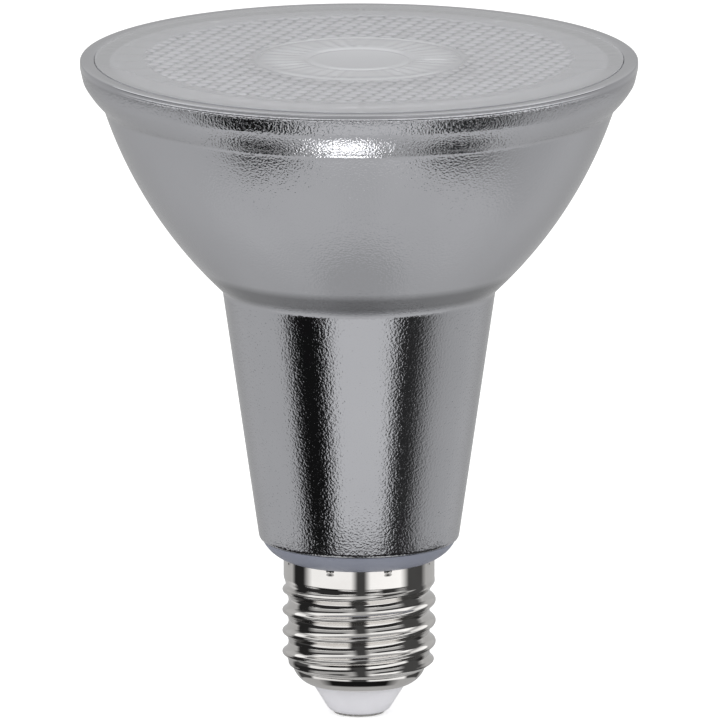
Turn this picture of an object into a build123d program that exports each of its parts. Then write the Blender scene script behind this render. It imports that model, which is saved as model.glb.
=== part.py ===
from build123d import *
import os
from math import atan, degrees, radians, sin, sqrt, tan

os.makedirs("parts", exist_ok=True)

# A long-neck reflector spotlight lamp on a 27 mm Edison screw cap.
# The axis is Z, the lens looks up and the origin is the bottom of the centre contact.
# All sizes are in millimetres.

# Fits shared by the pieces
slide_gap = 0.1
bond_gap = 0.2
edge_break = 0.3

# Centre contact and cap insulator
contact_radius = 4.4
contact_thickness = 0.45
eyelet_radius = 1.5
eyelet_bore_radius = 0.75
rivet_radius = 2.3
rivet_thickness = 0.5
insulator_tip_radius = 5.0
insulator_height = 4.8
insulator_flange_reach = 2.0
insulator_flange_thickness = 1.5

# Screw shell, rolled from sheet
shell_radius = 13.1
shell_wall = 0.4
mouth_inset = 5.0
dome_height = 2.9
dome_inset = 1.8
dome_bulge = 0.6
dome_bore_step = 0.9
thread_pitch = 3.629
thread_depth = 1.05
thread_turns = 4
crest_width = 0.55
root_width = 1.1
groove_overcut = 0.3
run_out_turns = 0.25
thread_entry = 1.3
thread_lead_in = 1.1
skirt_height = 4.65
skirt_inset = 0.2
skirt_plain = 4.0
skirt_ease = 0.3
skirt_step = 0.8
crimp_count = 8
crimp_radius = 0.6
crimp_depth = 0.25
crimp_drop = 0.75
crimp_turn = 22.5

# Collar
collar_step = 0.45
collar_height = 3.2
collar_bulge = 0.6
collar_bore_radius = 10.2
collar_spigot_height = 3.5
collar_skirt_depth = 3.6

# Glass reflector
glass_wall = 2.2
neck_bottom_radius = 17.0
neck_top_radius = 23.3
neck_length = 43.5
neck_edge_break = 0.8
shoulder_angle = 45.0
bowl_height = 31.9
bowl_bulge = 2.37
rim_radius = 47.5
rim_height = 7.95
rim_flare = 3.95
rim_taper = 0.55
rim_lip = 2.4
rim_edge = 1.2
rim_round = 0.7
flare_height = 3.35
flare_bulge = 0.13
rim_bore_inset = 1.65
rim_bore_depth = 7.2

# Front lens, let into the rim, and its seal
seal_thickness = 0.3
seal_inset = 0.4
lens_plate = 2.8
lens_proud = 0.15
lens_edge_round = 0.4
optic_top_radius = 20.0
optic_foot_wall = 1.3
optic_cavity_gap = 0.4
optic_cavity_height = 8.0
optic_dish_radius = 11.0
optic_dish_depth = 0.7

# Heat spreader and light source
spreader_reach = 5.0
spreader_seat_width = 2.0
spreader_plate = 3.0
spreader_height = 5.4
spreader_rim_wall = 3.0
spreader_boss_wall = 2.2
led_board_radius = 15.0
led_board_thickness = 1.6
screw_count = 3
screw_circle_radius = 12.0
screw_turn = 90.0
screw_radius = 0.9
screw_head_radius = 1.9
screw_head_height = 1.2
screw_grip = 2.0
screw_cross_length = 2.2
screw_cross_width = 0.5
screw_cross_depth = 0.6
emitter_radius = 5.3
emitter_thickness = 0.7
phosphor_radius = 4.3
phosphor_height = 0.5

# Driver sleeve and circuit board
sleeve_gap = 1.2
sleeve_wall = 1.2
sleeve_floor = 1.5
sleeve_over_board = 1.5
guide_width = 2.0
guide_thickness = 1.0
board_thickness = 1.0
board_edge_gap = 0.6
board_height = 35.0

# Leads
lead_radius = 0.5
lead_tail = 0.7
led_lead_gap = 1.1
neutral_end_height = 7.0

# Parts on the driver board, each with its place across and up the board
capacitor_gap = 1.4
bulk_capacitor_radius = 4.5
bulk_capacitor_across = 0.0
bulk_capacitor_up = 7.0
output_capacitor_radius = 3.4
output_capacitor_across = -4.0
output_capacitor_up = 9.0
film_capacitor_width = 6.4
film_capacitor_height = 7.0
film_capacitor_depth = 5.0
film_capacitor_across = 4.4
film_capacitor_up = 9.0
choke_radius = 3.0
choke_length = 6.0
choke_core_radius = 1.8
choke_flange = 0.8
choke_across = 5.0
choke_up = 16.0
rectifier_width = 6.0
rectifier_height = 4.6
rectifier_depth = 1.6
rectifier_across = -4.5
rectifier_up = 21.5
chip_width = 5.0
chip_height = 4.0
chip_depth = 1.5
chip_across = 4.0
chip_up = 26.0
fuse_radius = 1.4
fuse_length = 6.0
fuse_across = -6.0
fuse_up = 15.0
core_width = 12.6
core_height = 12.0
core_depth = 4.4
core_leg = 3.4
core_yoke = 1.7
core_side = 1.6
core_stand = 2.0
core_up = 22.0
bobbin_wall = 0.5
bobbin_flange = 0.7
winding_margin = 0.4

# Heights along the axis
shell_bottom_z = contact_thickness + insulator_height
thread_bottom_z = shell_bottom_z + dome_height
thread_top_z = thread_bottom_z + thread_pitch * thread_turns
skirt_top_z = thread_top_z + skirt_height
collar_top_z = skirt_top_z + collar_height
spigot_top_z = collar_top_z + collar_spigot_height
shoulder_z = collar_top_z + neck_length
bowl_top_z = shoulder_z + bowl_height
flare_top_z = bowl_top_z + flare_height
rim_top_z = bowl_top_z + rim_height
lens_top_z = rim_top_z + lens_proud
lens_bottom_z = lens_top_z - lens_plate
lens_seat_z = lens_bottom_z - seal_thickness

# Radii and heights of the screw shell
shell_mouth_radius = shell_radius - mouth_inset
dome_radius = shell_radius - dome_inset
root_radius = shell_radius - thread_depth
shell_bore_radius = root_radius - shell_wall
skirt_radius = shell_radius - skirt_inset
skirt_bore_radius = skirt_radius - shell_wall
skirt_bore_z = thread_top_z + skirt_step
skirt_plain_z = skirt_top_z - skirt_plain
dome_bore_z = thread_bottom_z + dome_bore_step
mouth_bore_z = shell_bottom_z + shell_wall
dome_slope = (dome_bore_z - mouth_bore_z) / (shell_bore_radius - shell_mouth_radius)

# Radii that follow the rim and the neck
bowl_top_radius = rim_radius - rim_flare
rim_bore_radius = bowl_top_radius - rim_bore_inset
lens_seat_radius = rim_radius - rim_lip
lens_radius = lens_seat_radius - slide_gap
collar_radius = neck_bottom_radius - collar_step

# Inside of the glass: a cone on the shoulder carries the heat spreader
neck_bore_radius = neck_bottom_radius - glass_wall
shoulder_bore_radius = neck_top_radius - glass_wall
shoulder_bore_z = shoulder_z + glass_wall * tan(radians(shoulder_angle / 2))
shoulder_slope = 1 / tan(radians(shoulder_angle))
spreader_radius = shoulder_bore_radius + spreader_reach
seat_end_radius = spreader_radius + edge_break
seat_end_z = shoulder_bore_z + (seat_end_radius - shoulder_bore_radius) * shoulder_slope
rim_bore_z = rim_top_z - rim_bore_depth
outer_chord = sqrt((bowl_top_radius - neck_top_radius) ** 2 + bowl_height ** 2)
inner_chord = sqrt((rim_bore_radius - seat_end_radius) ** 2 + (rim_bore_z - seat_end_z) ** 2)
bowl_bore_bulge = bowl_bulge * (inner_chord / outer_chord) ** 2

# Heights of what stands inside
seat_lift = bond_gap / sin(radians(shoulder_angle))
spreader_seat_radius = spreader_radius - spreader_seat_width
seat_rise = (spreader_seat_radius - shoulder_bore_radius) * shoulder_slope
spreader_seat_z = shoulder_bore_z + seat_rise + seat_lift
spreader_wall_z = spreader_seat_z + spreader_seat_width * shoulder_slope
spreader_top_z = spreader_seat_z + spreader_height
spreader_under_z = spreader_top_z - spreader_plate
led_board_top_z = spreader_top_z + led_board_thickness
optic_foot_z = led_board_top_z + bond_gap
optic_cavity_radius = emitter_radius + optic_cavity_gap
optic_foot_radius = optic_cavity_radius + optic_foot_wall
sleeve_radius = neck_bore_radius - sleeve_gap
sleeve_bore_radius = sleeve_radius - sleeve_wall
board_bottom_z = spigot_top_z + sleeve_floor
board_top_z = board_bottom_z + board_height
sleeve_top_z = board_top_z + sleeve_over_board
boss_radius = sleeve_radius + edge_break
board_half_width = sleeve_bore_radius - board_edge_gap
board_face = board_thickness / 2

# Places of the leads, seen along the axis; each lead meets an edge of the driver board
lead_hole_radius = lead_radius + slide_gap
led_lead_across = optic_foot_radius + led_lead_gap + lead_radius
led_leads = [(-led_lead_across, 0), (led_lead_across, 0)]
neutral_across = shell_bore_radius - lead_hole_radius
cap_leads = [(0, 0), (-neutral_across, 0)]


def finish(piece, label):
    piece.part.label = label
    export_step(piece.part, f"parts/{label}.step")


def front(across, up):
    return Plane((across, board_face, board_bottom_z + up), x_dir=(1, 0, 0), z_dir=(0, 1, 0))


def back(across, up):
    return Plane((across, -board_face, board_bottom_z + up), x_dir=(-1, 0, 0), z_dir=(0, -1, 0))


# Centre contact: a disc with a hollow rivet through the insulator
flange_radius = shell_mouth_radius + insulator_flange_reach
insulator_neck_radius = shell_mouth_radius - slide_gap
insulator_seat_z = mouth_bore_z + slide_gap
flange_seat_z = insulator_seat_z + insulator_flange_reach * dome_slope
insulator_top_z = flange_seat_z + insulator_flange_thickness
rivet_top_z = insulator_top_z + rivet_thickness
with BuildPart() as centre_contact:
    with BuildSketch(Plane.XZ):
        with BuildLine():
            Polyline(
                (0, 0),
                (contact_radius, 0),
                (contact_radius, contact_thickness),
                (eyelet_radius, contact_thickness),
                (eyelet_radius, insulator_top_z),
                (rivet_radius, insulator_top_z),
                (rivet_radius, rivet_top_z),
                (eyelet_bore_radius, rivet_top_z),
                (eyelet_bore_radius, contact_thickness),
                (0, contact_thickness),
                close=True,
            )
        make_face()
    revolve(axis=Axis.Z)
    chamfer(centre_contact.edges().group_by(Axis.Z)[0], edge_break)
finish(centre_contact, "centre_contact")

# Cap insulator: a cone held by its flange inside the rolled edge of the shell
with BuildPart() as cap_insulator:
    with BuildSketch(Plane.XZ):
        with BuildLine():
            Polyline(
                (eyelet_radius + slide_gap, contact_thickness),
                (insulator_tip_radius, contact_thickness),
                (insulator_neck_radius, shell_bottom_z),
                (insulator_neck_radius, insulator_seat_z),
                (flange_radius, flange_seat_z),
                (flange_radius, insulator_top_z),
                (eyelet_radius + slide_gap, insulator_top_z),
                close=True,
            )
        make_face()
    revolve(axis=Axis.Z)
    chamfer(cap_insulator.edges().group_by(Axis.Z)[0].sort_by(SortBy.LENGTH)[-1], edge_break)
finish(cap_insulator, "cap_insulator")

# Screw shell: a turned blank, then a helical groove that runs out under the skirt
groove_start_z = thread_bottom_z - thread_pitch - thread_lead_in
groove_height = thread_pitch * (thread_turns + 1)
run_out_height = thread_pitch * run_out_turns
flank_rise = (thread_pitch - crest_width - root_width) / 2 / thread_depth
groove_reach = thread_depth + groove_overcut
groove_mouth = root_width / 2 + groove_reach * flank_rise
run_out_angle = degrees(atan(groove_reach / run_out_height))


def groove_section(height):
    Polyline(
        (root_radius, height - root_width / 2),
        (root_radius + groove_reach, height - groove_mouth),
        (root_radius + groove_reach, height + groove_mouth),
        (root_radius, height + root_width / 2),
        close=True,
    )


with BuildPart() as screw_shell:
    with BuildSketch(Plane.XZ):
        with BuildLine():
            SagittaArc((shell_mouth_radius, shell_bottom_z), (dome_radius, thread_bottom_z), -dome_bulge)
            Polyline(
                (dome_radius, thread_bottom_z),
                (shell_radius, thread_bottom_z + thread_entry),
                (shell_radius, skirt_plain_z - skirt_ease),
                (skirt_radius, skirt_plain_z),
                (skirt_radius, skirt_top_z),
                (skirt_bore_radius, skirt_top_z),
                (skirt_bore_radius, skirt_bore_z),
                (shell_bore_radius, skirt_bore_z),
                (shell_bore_radius, dome_bore_z),
                (shell_mouth_radius, mouth_bore_z),
                (shell_mouth_radius, shell_bottom_z),
            )
        make_face()
    revolve(axis=Axis.Z)
    with BuildLine() as groove_path:
        Helix(thread_pitch, groove_height, root_radius, center=(0, 0, groove_start_z))
    with BuildSketch(Plane.XZ) as groove:
        with BuildLine():
            groove_section(groove_start_z)
        make_face()
    sweep(groove.sketch, path=groove_path.line, is_frenet=True, mode=Mode.SUBTRACT)
    run_out_z = groove_start_z + groove_height
    with BuildLine() as run_out_path:
        Helix(
            thread_pitch,
            run_out_height,
            root_radius,
            center=(0, 0, run_out_z),
            cone_angle=run_out_angle,
        )
    with BuildSketch(Plane.XZ) as run_out:
        with BuildLine():
            groove_section(run_out_z)
        make_face()
    sweep(run_out.sketch, path=run_out_path.line, is_frenet=True, mode=Mode.SUBTRACT)
    with Locations((0, 0, skirt_top_z - crimp_drop)):
        with PolarLocations(skirt_radius + crimp_radius - crimp_depth, crimp_count, start_angle=crimp_turn):
            Sphere(crimp_radius, mode=Mode.SUBTRACT)
finish(screw_shell, "screw_shell")

# Collar: closes the neck, with a spigot up into the glass, a skirt down into the shell
# and a notch in its bore for the neutral lead
with BuildPart() as collar:
    with BuildSketch(Plane.XZ):
        with BuildLine():
            SagittaArc((skirt_radius, skirt_top_z), (collar_radius, collar_top_z), -collar_bulge)
            Polyline(
                (collar_radius, collar_top_z),
                (neck_bore_radius - slide_gap, collar_top_z),
                (neck_bore_radius - slide_gap, spigot_top_z),
                (collar_bore_radius, spigot_top_z),
                (collar_bore_radius, skirt_top_z - collar_skirt_depth),
                (skirt_bore_radius - slide_gap, skirt_top_z - collar_skirt_depth),
                (skirt_bore_radius - slide_gap, skirt_top_z),
                (skirt_radius, skirt_top_z),
            )
        make_face()
    revolve(axis=Axis.Z)
    with BuildSketch(Plane.XY.offset(skirt_top_z - collar_skirt_depth)):
        with Locations((-neutral_across, 0)):
            Circle(lead_hole_radius)
        with Locations((-neutral_across, 0)):
            Rectangle(neutral_across, 2 * lead_hole_radius, align=(Align.MIN, Align.CENTER))
    extrude(amount=spigot_top_z - skirt_top_z + collar_skirt_depth, mode=Mode.SUBTRACT)
finish(collar, "collar")

# Glass reflector: one pressing with a tapered neck, a bowl and a heavy rim that the lens drops into
with BuildPart() as glass_reflector:
    with BuildSketch(Plane.XZ):
        with BuildLine():
            Polyline(
                (neck_bore_radius, collar_top_z),
                (neck_bottom_radius, collar_top_z),
                (neck_top_radius, shoulder_z),
            )
            SagittaArc((neck_top_radius, shoulder_z), (bowl_top_radius, bowl_top_z), -bowl_bulge)
            SagittaArc((bowl_top_radius, bowl_top_z), (rim_radius - rim_taper, flare_top_z), -flare_bulge)
            Polyline(
                (rim_radius - rim_taper, flare_top_z),
                (rim_radius, rim_top_z - rim_edge),
                (rim_radius, rim_top_z),
                (lens_seat_radius, rim_top_z),
                (lens_seat_radius, lens_seat_z),
                (rim_bore_radius, lens_seat_z),
                (rim_bore_radius, rim_bore_z),
            )
            SagittaArc((rim_bore_radius, rim_bore_z), (seat_end_radius, seat_end_z), bowl_bore_bulge)
            Polyline(
                (seat_end_radius, seat_end_z),
                (shoulder_bore_radius, shoulder_bore_z),
                (neck_bore_radius, collar_top_z),
            )
        make_face()
    revolve(axis=Axis.Z)
    chamfer(glass_reflector.edges().group_by(Axis.Z)[0].sort_by(SortBy.LENGTH)[-1], neck_edge_break)
    fillet(glass_reflector.edges().group_by(Axis.Z)[-1].sort_by(SortBy.LENGTH)[-1], rim_round)
finish(glass_reflector, "glass_reflector")

# Lens seal: a flat ring on the seat in the rim
with BuildPart() as lens_seal:
    with BuildSketch(Plane.XY.offset(lens_seat_z)):
        Circle(lens_seat_radius - seal_inset)
        Circle(rim_bore_radius + seal_inset, mode=Mode.SUBTRACT)
    extrude(amount=seal_thickness)
finish(lens_seal, "lens_seal")

# Front lens: a round plate with a rounded edge and the collimator under its middle
cavity_z = optic_foot_z + optic_cavity_height
with BuildPart() as front_lens:
    with BuildSketch(Plane.XZ):
        with BuildLine():
            Polyline(
                (0, cavity_z),
                (optic_cavity_radius, cavity_z),
                (optic_cavity_radius, optic_foot_z),
                (optic_foot_radius, optic_foot_z),
                (optic_top_radius, lens_bottom_z),
                (lens_radius, lens_bottom_z),
                (lens_radius, lens_top_z),
                (optic_dish_radius, lens_top_z),
                (optic_dish_radius - optic_dish_depth, lens_top_z - optic_dish_depth),
                (0, lens_top_z - optic_dish_depth),
                close=True,
            )
        make_face()
    revolve(axis=Axis.Z)
    fillet(front_lens.edges().group_by(Axis.Z)[-1].sort_by(SortBy.LENGTH)[-1], lens_edge_round)
finish(front_lens, "front_lens")

# Heat spreader: a dish that sits on the shoulder cone, with a boss over the sleeve
with BuildPart() as heat_spreader:
    with BuildSketch(Plane.XZ):
        with BuildLine():
            Polyline(
                (0, spreader_top_z),
                (spreader_radius, spreader_top_z),
                (spreader_radius, spreader_wall_z),
                (spreader_seat_radius, spreader_seat_z),
                (spreader_radius - spreader_rim_wall, spreader_seat_z),
                (spreader_radius - spreader_rim_wall, spreader_under_z),
                (boss_radius, spreader_under_z),
                (boss_radius, sleeve_top_z + bond_gap),
                (boss_radius - spreader_boss_wall, sleeve_top_z + bond_gap),
                (boss_radius - spreader_boss_wall, spreader_under_z),
                (0, spreader_under_z),
                close=True,
            )
        make_face()
    revolve(axis=Axis.Z)
    with Locations(Plane.XY.offset(spreader_top_z)):
        with PolarLocations(screw_circle_radius, screw_count, start_angle=screw_turn):
            Hole(screw_radius + slide_gap, depth=spreader_plate)
        with Locations(*led_leads):
            Hole(lead_hole_radius, depth=spreader_plate)
finish(heat_spreader, "heat_spreader")

# Light source: board, emitter and phosphor
with BuildPart() as led_board:
    with BuildSketch(Plane.XY.offset(spreader_top_z)):
        Circle(led_board_radius)
        with PolarLocations(screw_circle_radius, screw_count, start_angle=screw_turn):
            Circle(screw_radius + slide_gap, mode=Mode.SUBTRACT)
        with Locations(*led_leads):
            Circle(lead_hole_radius, mode=Mode.SUBTRACT)
    extrude(amount=led_board_thickness)
finish(led_board, "led_board")

with BuildPart() as led_emitter:
    with BuildSketch(Plane.XY.offset(led_board_top_z)):
        Circle(emitter_radius)
    extrude(amount=emitter_thickness)
finish(led_emitter, "led_emitter")

with BuildPart() as led_phosphor:
    with BuildSketch(Plane.XY.offset(led_board_top_z + emitter_thickness)):
        Circle(phosphor_radius)
    extrude(amount=phosphor_height)
    chamfer(led_phosphor.faces().sort_by(Axis.Z)[-1].edges(), phosphor_height / 2)
finish(led_phosphor, "led_phosphor")

# Screws that hold the board down on the spreader, each with a cross recess
with BuildPart() as board_screws:
    with Locations(Plane.XY.offset(led_board_top_z)):
        with PolarLocations(screw_circle_radius, screw_count, start_angle=screw_turn):
            Cylinder(screw_head_radius, screw_head_height, align=(Align.CENTER, Align.CENTER, Align.MIN))
            Cylinder(
                screw_radius,
                led_board_thickness + screw_grip,
                align=(Align.CENTER, Align.CENTER, Align.MAX),
            )
    with BuildSketch(Plane.XY.offset(led_board_top_z + screw_head_height)):
        with PolarLocations(screw_circle_radius, screw_count, start_angle=screw_turn):
            Rectangle(screw_cross_length, screw_cross_width)
            Rectangle(screw_cross_width, screw_cross_length)
    extrude(amount=-screw_cross_depth, mode=Mode.SUBTRACT)
finish(board_screws, "board_screws")

# Driver sleeve: a cup in the neck with guides for the edges of the board
with BuildPart() as driver_sleeve:
    with BuildSketch(Plane.XY.offset(spigot_top_z)):
        Circle(sleeve_radius)
    extrude(amount=sleeve_top_z - spigot_top_z)
    with BuildSketch(Plane.XY.offset(board_bottom_z)):
        Circle(sleeve_bore_radius)
        with Locations(
            (board_half_width, board_face + slide_gap + guide_thickness / 2),
            (board_half_width, -board_face - slide_gap - guide_thickness / 2),
            (-board_half_width, board_face + slide_gap + guide_thickness / 2),
            (-board_half_width, -board_face - slide_gap - guide_thickness / 2),
        ):
            Rectangle(guide_width, guide_thickness, mode=Mode.SUBTRACT)
    extrude(amount=sleeve_top_z - board_bottom_z, mode=Mode.SUBTRACT)
    with Locations(Plane.XY.offset(board_bottom_z)):
        with Locations(*cap_leads):
            Hole(lead_hole_radius, depth=sleeve_floor)
finish(driver_sleeve, "driver_sleeve")

# Driver board: stands on the sleeve floor between the guides
with BuildPart() as driver_board:
    with BuildSketch(Plane.XZ.offset(-board_face)):
        with Locations((0, board_bottom_z + board_height / 2)):
            Rectangle(2 * board_half_width, board_height)
    extrude(amount=board_thickness)
finish(driver_board, "driver_board")


# Round parts on the board: a can that stands on the board's face
def can(plane, radius, length):
    with BuildPart() as body:
        with BuildSketch(plane):
            Circle(radius)
        extrude(amount=length)
        chamfer(body.faces().sort_by(Axis(plane.origin, plane.z_dir))[-1].edges(), edge_break)
    return body


# Length of a capacitor that stops short of the round sleeve
def capacitor_length(across, radius):
    return sqrt((sleeve_bore_radius - capacitor_gap) ** 2 - (abs(across) + radius) ** 2) - board_face


# Square parts on the board: a moulded block that stands on the board's face
def block(plane, width, height, depth):
    with BuildPart() as body:
        with BuildSketch(plane):
            Rectangle(width, height)
        extrude(amount=depth)
        chamfer(body.faces().sort_by(Axis(plane.origin, plane.z_dir))[-1].edges(), edge_break)
    return body


finish(
    can(
        back(bulk_capacitor_across, bulk_capacitor_up),
        bulk_capacitor_radius,
        capacitor_length(bulk_capacitor_across, bulk_capacitor_radius),
    ),
    "bulk_capacitor",
)
finish(
    can(
        front(output_capacitor_across, output_capacitor_up),
        output_capacitor_radius,
        capacitor_length(output_capacitor_across, output_capacitor_radius),
    ),
    "output_capacitor",
)
finish(can(back(fuse_across, fuse_up), fuse_radius, fuse_length), "fuse_resistor")
finish(
    block(
        front(film_capacitor_across, film_capacitor_up),
        film_capacitor_width,
        film_capacitor_height,
        film_capacitor_depth,
    ),
    "film_capacitor",
)
finish(
    block(back(rectifier_across, rectifier_up), rectifier_width, rectifier_height, rectifier_depth),
    "bridge_rectifier",
)
finish(block(back(chip_across, chip_up), chip_width, chip_height, chip_depth), "control_chip")

# Filter choke: a drum with two flanges
with BuildPart() as filter_choke:
    with BuildSketch(back(choke_across, choke_up)):
        Circle(choke_radius)
    extrude(amount=choke_length)
    with BuildSketch(back(choke_across, choke_up).offset(choke_flange)):
        Circle(choke_radius)
        Circle(choke_core_radius, mode=Mode.SUBTRACT)
    extrude(amount=choke_length - 2 * choke_flange, mode=Mode.SUBTRACT)
finish(filter_choke, "filter_choke")

# Transformer: a two-window core, the bobbin on its middle leg and the winding on the bobbin
window_width = (core_width - core_leg) / 2 - core_side
window_height = core_height - 2 * core_yoke
window_middle = (core_leg + window_width) / 2
core_plane = front(0, core_up).offset(core_stand)
tube_width = core_leg + 2 * (slide_gap + bobbin_wall)
tube_depth = core_depth + 2 * (slide_gap + bobbin_wall)
flange_width = core_leg + 2 * (window_width - slide_gap)
bobbin_height = window_height - 2 * slide_gap
leg_y = board_face + core_stand + core_depth / 2
with BuildPart() as transformer_core:
    with BuildSketch(core_plane):
        Rectangle(core_width, core_height)
        with Locations((-window_middle, 0), (window_middle, 0)):
            Rectangle(window_width, window_height, mode=Mode.SUBTRACT)
    extrude(amount=core_depth)
finish(transformer_core, "transformer_core")

core_middle_z = board_bottom_z + core_up
bobbin_bottom_z = core_middle_z - bobbin_height / 2
flange_depth = tube_depth + 2 * (core_stand - slide_gap - bobbin_wall)
with BuildPart() as transformer_bobbin:
    with BuildSketch(Plane.XY.offset(bobbin_bottom_z)):
        with Locations((0, leg_y)):
            Rectangle(tube_width, tube_depth)
    extrude(amount=bobbin_height)
    for flange_z in (bobbin_bottom_z, bobbin_bottom_z + bobbin_height - bobbin_flange):
        with BuildSketch(Plane.XY.offset(flange_z)):
            with Locations((0, leg_y)):
                Rectangle(flange_width, flange_depth)
        extrude(amount=bobbin_flange)
    with BuildSketch(Plane.XY.offset(bobbin_bottom_z)):
        with Locations((0, leg_y)):
            Rectangle(core_leg + 2 * slide_gap, core_depth + 2 * slide_gap)
    extrude(amount=bobbin_height, mode=Mode.SUBTRACT)
finish(transformer_bobbin, "transformer_bobbin")

winding_width = flange_width - 2 * winding_margin
winding_depth = flange_depth - 2 * winding_margin
with BuildPart() as transformer_winding:
    with BuildSketch(Plane.XY.offset(bobbin_bottom_z + bobbin_flange)):
        with Locations((0, leg_y)):
            RectangleRounded(winding_width, winding_depth, winding_margin)
            Rectangle(tube_width, tube_depth, mode=Mode.SUBTRACT)
    extrude(amount=bobbin_height - 2 * bobbin_flange)
finish(transformer_winding, "transformer_winding")


# Leads: straight round wires between the light source, the driver board and the cap
def straight_lead(place, bottom_z, top_z):
    with BuildPart() as wire:
        with BuildSketch(Plane.XY.offset(bottom_z)):
            with Locations(place):
                Circle(lead_radius)
        extrude(amount=top_z - bottom_z)
    return wire


led_lead_top_z = led_board_top_z + lead_tail
finish(straight_lead(led_leads[0], board_top_z, led_lead_top_z), "led_lead_negative")
finish(straight_lead(led_leads[1], board_top_z, led_lead_top_z), "led_lead_positive")
finish(straight_lead(cap_leads[0], contact_thickness, board_bottom_z), "live_lead")
finish(
    straight_lead(cap_leads[1], thread_bottom_z + neutral_end_height, board_bottom_z),
    "neutral_lead",
)
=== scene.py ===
import math

import bmesh
import bpy
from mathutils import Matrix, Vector
from mathutils.geometry import delaunay_2d_cdt


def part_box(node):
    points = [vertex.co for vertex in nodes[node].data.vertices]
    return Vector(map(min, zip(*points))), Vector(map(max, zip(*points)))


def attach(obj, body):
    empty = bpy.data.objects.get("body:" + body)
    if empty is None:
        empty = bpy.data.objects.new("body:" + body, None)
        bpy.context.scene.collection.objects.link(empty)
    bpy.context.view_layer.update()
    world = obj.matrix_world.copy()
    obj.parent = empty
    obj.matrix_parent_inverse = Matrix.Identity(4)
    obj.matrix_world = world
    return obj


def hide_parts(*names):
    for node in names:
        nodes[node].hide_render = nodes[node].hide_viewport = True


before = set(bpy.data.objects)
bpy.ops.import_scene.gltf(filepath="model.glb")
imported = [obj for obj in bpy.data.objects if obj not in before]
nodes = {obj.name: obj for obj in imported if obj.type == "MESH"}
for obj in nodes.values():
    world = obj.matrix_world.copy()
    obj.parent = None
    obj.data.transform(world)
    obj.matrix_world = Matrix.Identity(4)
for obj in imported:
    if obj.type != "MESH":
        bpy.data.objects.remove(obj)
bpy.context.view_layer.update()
scene = bpy.context.scene
scene.view_settings.view_transform = "Standard"
mm = 0.001
print("frame:", len(nodes), "CAD nodes")


# heights of the CAD nodes along the axis, in mm
def lowOf(node):
    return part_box(node)[0].z / mm


def highOf(node):
    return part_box(node)[1].z / mm


def radiusOf(node):
    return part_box(node)[1].x / mm


def share(value):  # held between 0 and 1
    return min(1, max(0, value))


# outlines are lists of (radius, height) in mm, and a third number softens that corner
def arcPoints(start, end, bulge, steps):
    (r0, z0), (r1, z1) = start, end
    dr, dz = r1 - r0, z1 - z0
    chord = math.hypot(dr, dz)
    radius = (chord * chord / 4 + bulge * bulge) / (2 * abs(bulge))
    half = math.asin(chord / 2 / radius)
    side = math.copysign(1, bulge)  # a positive bulge swells to the right of the way it runs
    points = []
    for i in range(steps + 1):
        angle = half * (2 * i / steps - 1)
        along = radius * math.sin(angle) / chord
        off = side * (radius * math.cos(angle) - radius + abs(bulge)) / chord
        points.append(((r0 + r1) / 2 + along * dr + off * dz, (z0 + z1) / 2 + along * dz - off * dr))
    return points


def walk(outline, index, reach, step):
    here = Vector(outline[index][:2])
    while True:
        index += step
        there = Vector(outline[index][:2])
        span = (there - here).length
        if span >= reach:
            return here.lerp(there, reach / span), index
        reach -= span
        here = there


def softened(outline, steps=5):
    soft = []
    skipTo = 0
    for i, point in enumerate(outline):
        if len(point) == 3:
            before, lastKept = walk(outline, i, point[2], -1)
            after, skipTo = walk(outline, i, point[2], 1)
            corner = Vector(point[:2])
            soft = [p for p in soft if p[0] <= lastKept]
            for k in range(steps + 1):
                t = k / steps
                curve = before * (1 - t) ** 2 + corner * 2 * t * (1 - t) + after * t * t
                soft.append((i, tuple(curve)))
        elif i >= skipTo:
            soft.append((i, point))
    return [p[1] for p in soft]


def addSpin(bm, outline, segments, smooth=True, close=False):
    rings = []
    for r, z in outline:
        ring = []
        for s in range(segments):
            angle = 2 * math.pi * s / segments
            ring.append(bm.verts.new((r * mm * math.cos(angle), r * mm * math.sin(angle), z * mm)))
        rings.append(ring)
    pairs = list(zip(rings, rings[1:])) + ([(rings[-1], rings[0])] if close else [])
    for low, high in pairs:
        for s in range(segments):
            t = (s + 1) % segments
            bm.faces.new((low[s], low[t], high[t], high[s])).smooth = smooth
    return rings


def toObject(bm, name, sharpAngle=40.0, weld=0.00002):
    bmesh.ops.remove_doubles(bm, verts=bm.verts, dist=weld * mm)
    bmesh.ops.dissolve_degenerate(bm, edges=bm.edges, dist=weld * mm)
    bmesh.ops.recalc_face_normals(bm, faces=bm.faces)
    mesh = bpy.data.meshes.new(name)
    bm.to_mesh(mesh)
    bm.free()
    mesh.set_sharp_from_angle(angle=math.radians(sharpAngle))
    piece = bpy.data.objects.new(name, mesh)
    scene.collection.objects.link(piece)
    return piece


def settle(piece, node, material):
    piece.data.materials.clear()
    piece.data.materials.append(material)
    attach(piece, "root")
    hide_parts(node)
    print("piece:", piece.name, len(piece.data.polygons), "faces")


# materials
def startMaterial(name):
    material = bpy.data.materials.new(name)
    material.use_nodes = True
    tree = material.node_tree
    return material, tree, tree.nodes["Principled BSDF"]


def objectPlace(tree):
    return tree.nodes.new("ShaderNodeTexCoord").outputs["Object"]


def axisDistance(tree):
    flat, span = tree.nodes.new("ShaderNodeVectorMath"), tree.nodes.new("ShaderNodeVectorMath")
    flat.operation, span.operation = "MULTIPLY", "LENGTH"
    flat.inputs[1].default_value = (1 / mm, 1 / mm, 0)
    tree.links.new(objectPlace(tree), flat.inputs[0])
    tree.links.new(flat.outputs["Vector"], span.inputs[0])
    return span.outputs["Value"]


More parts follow.
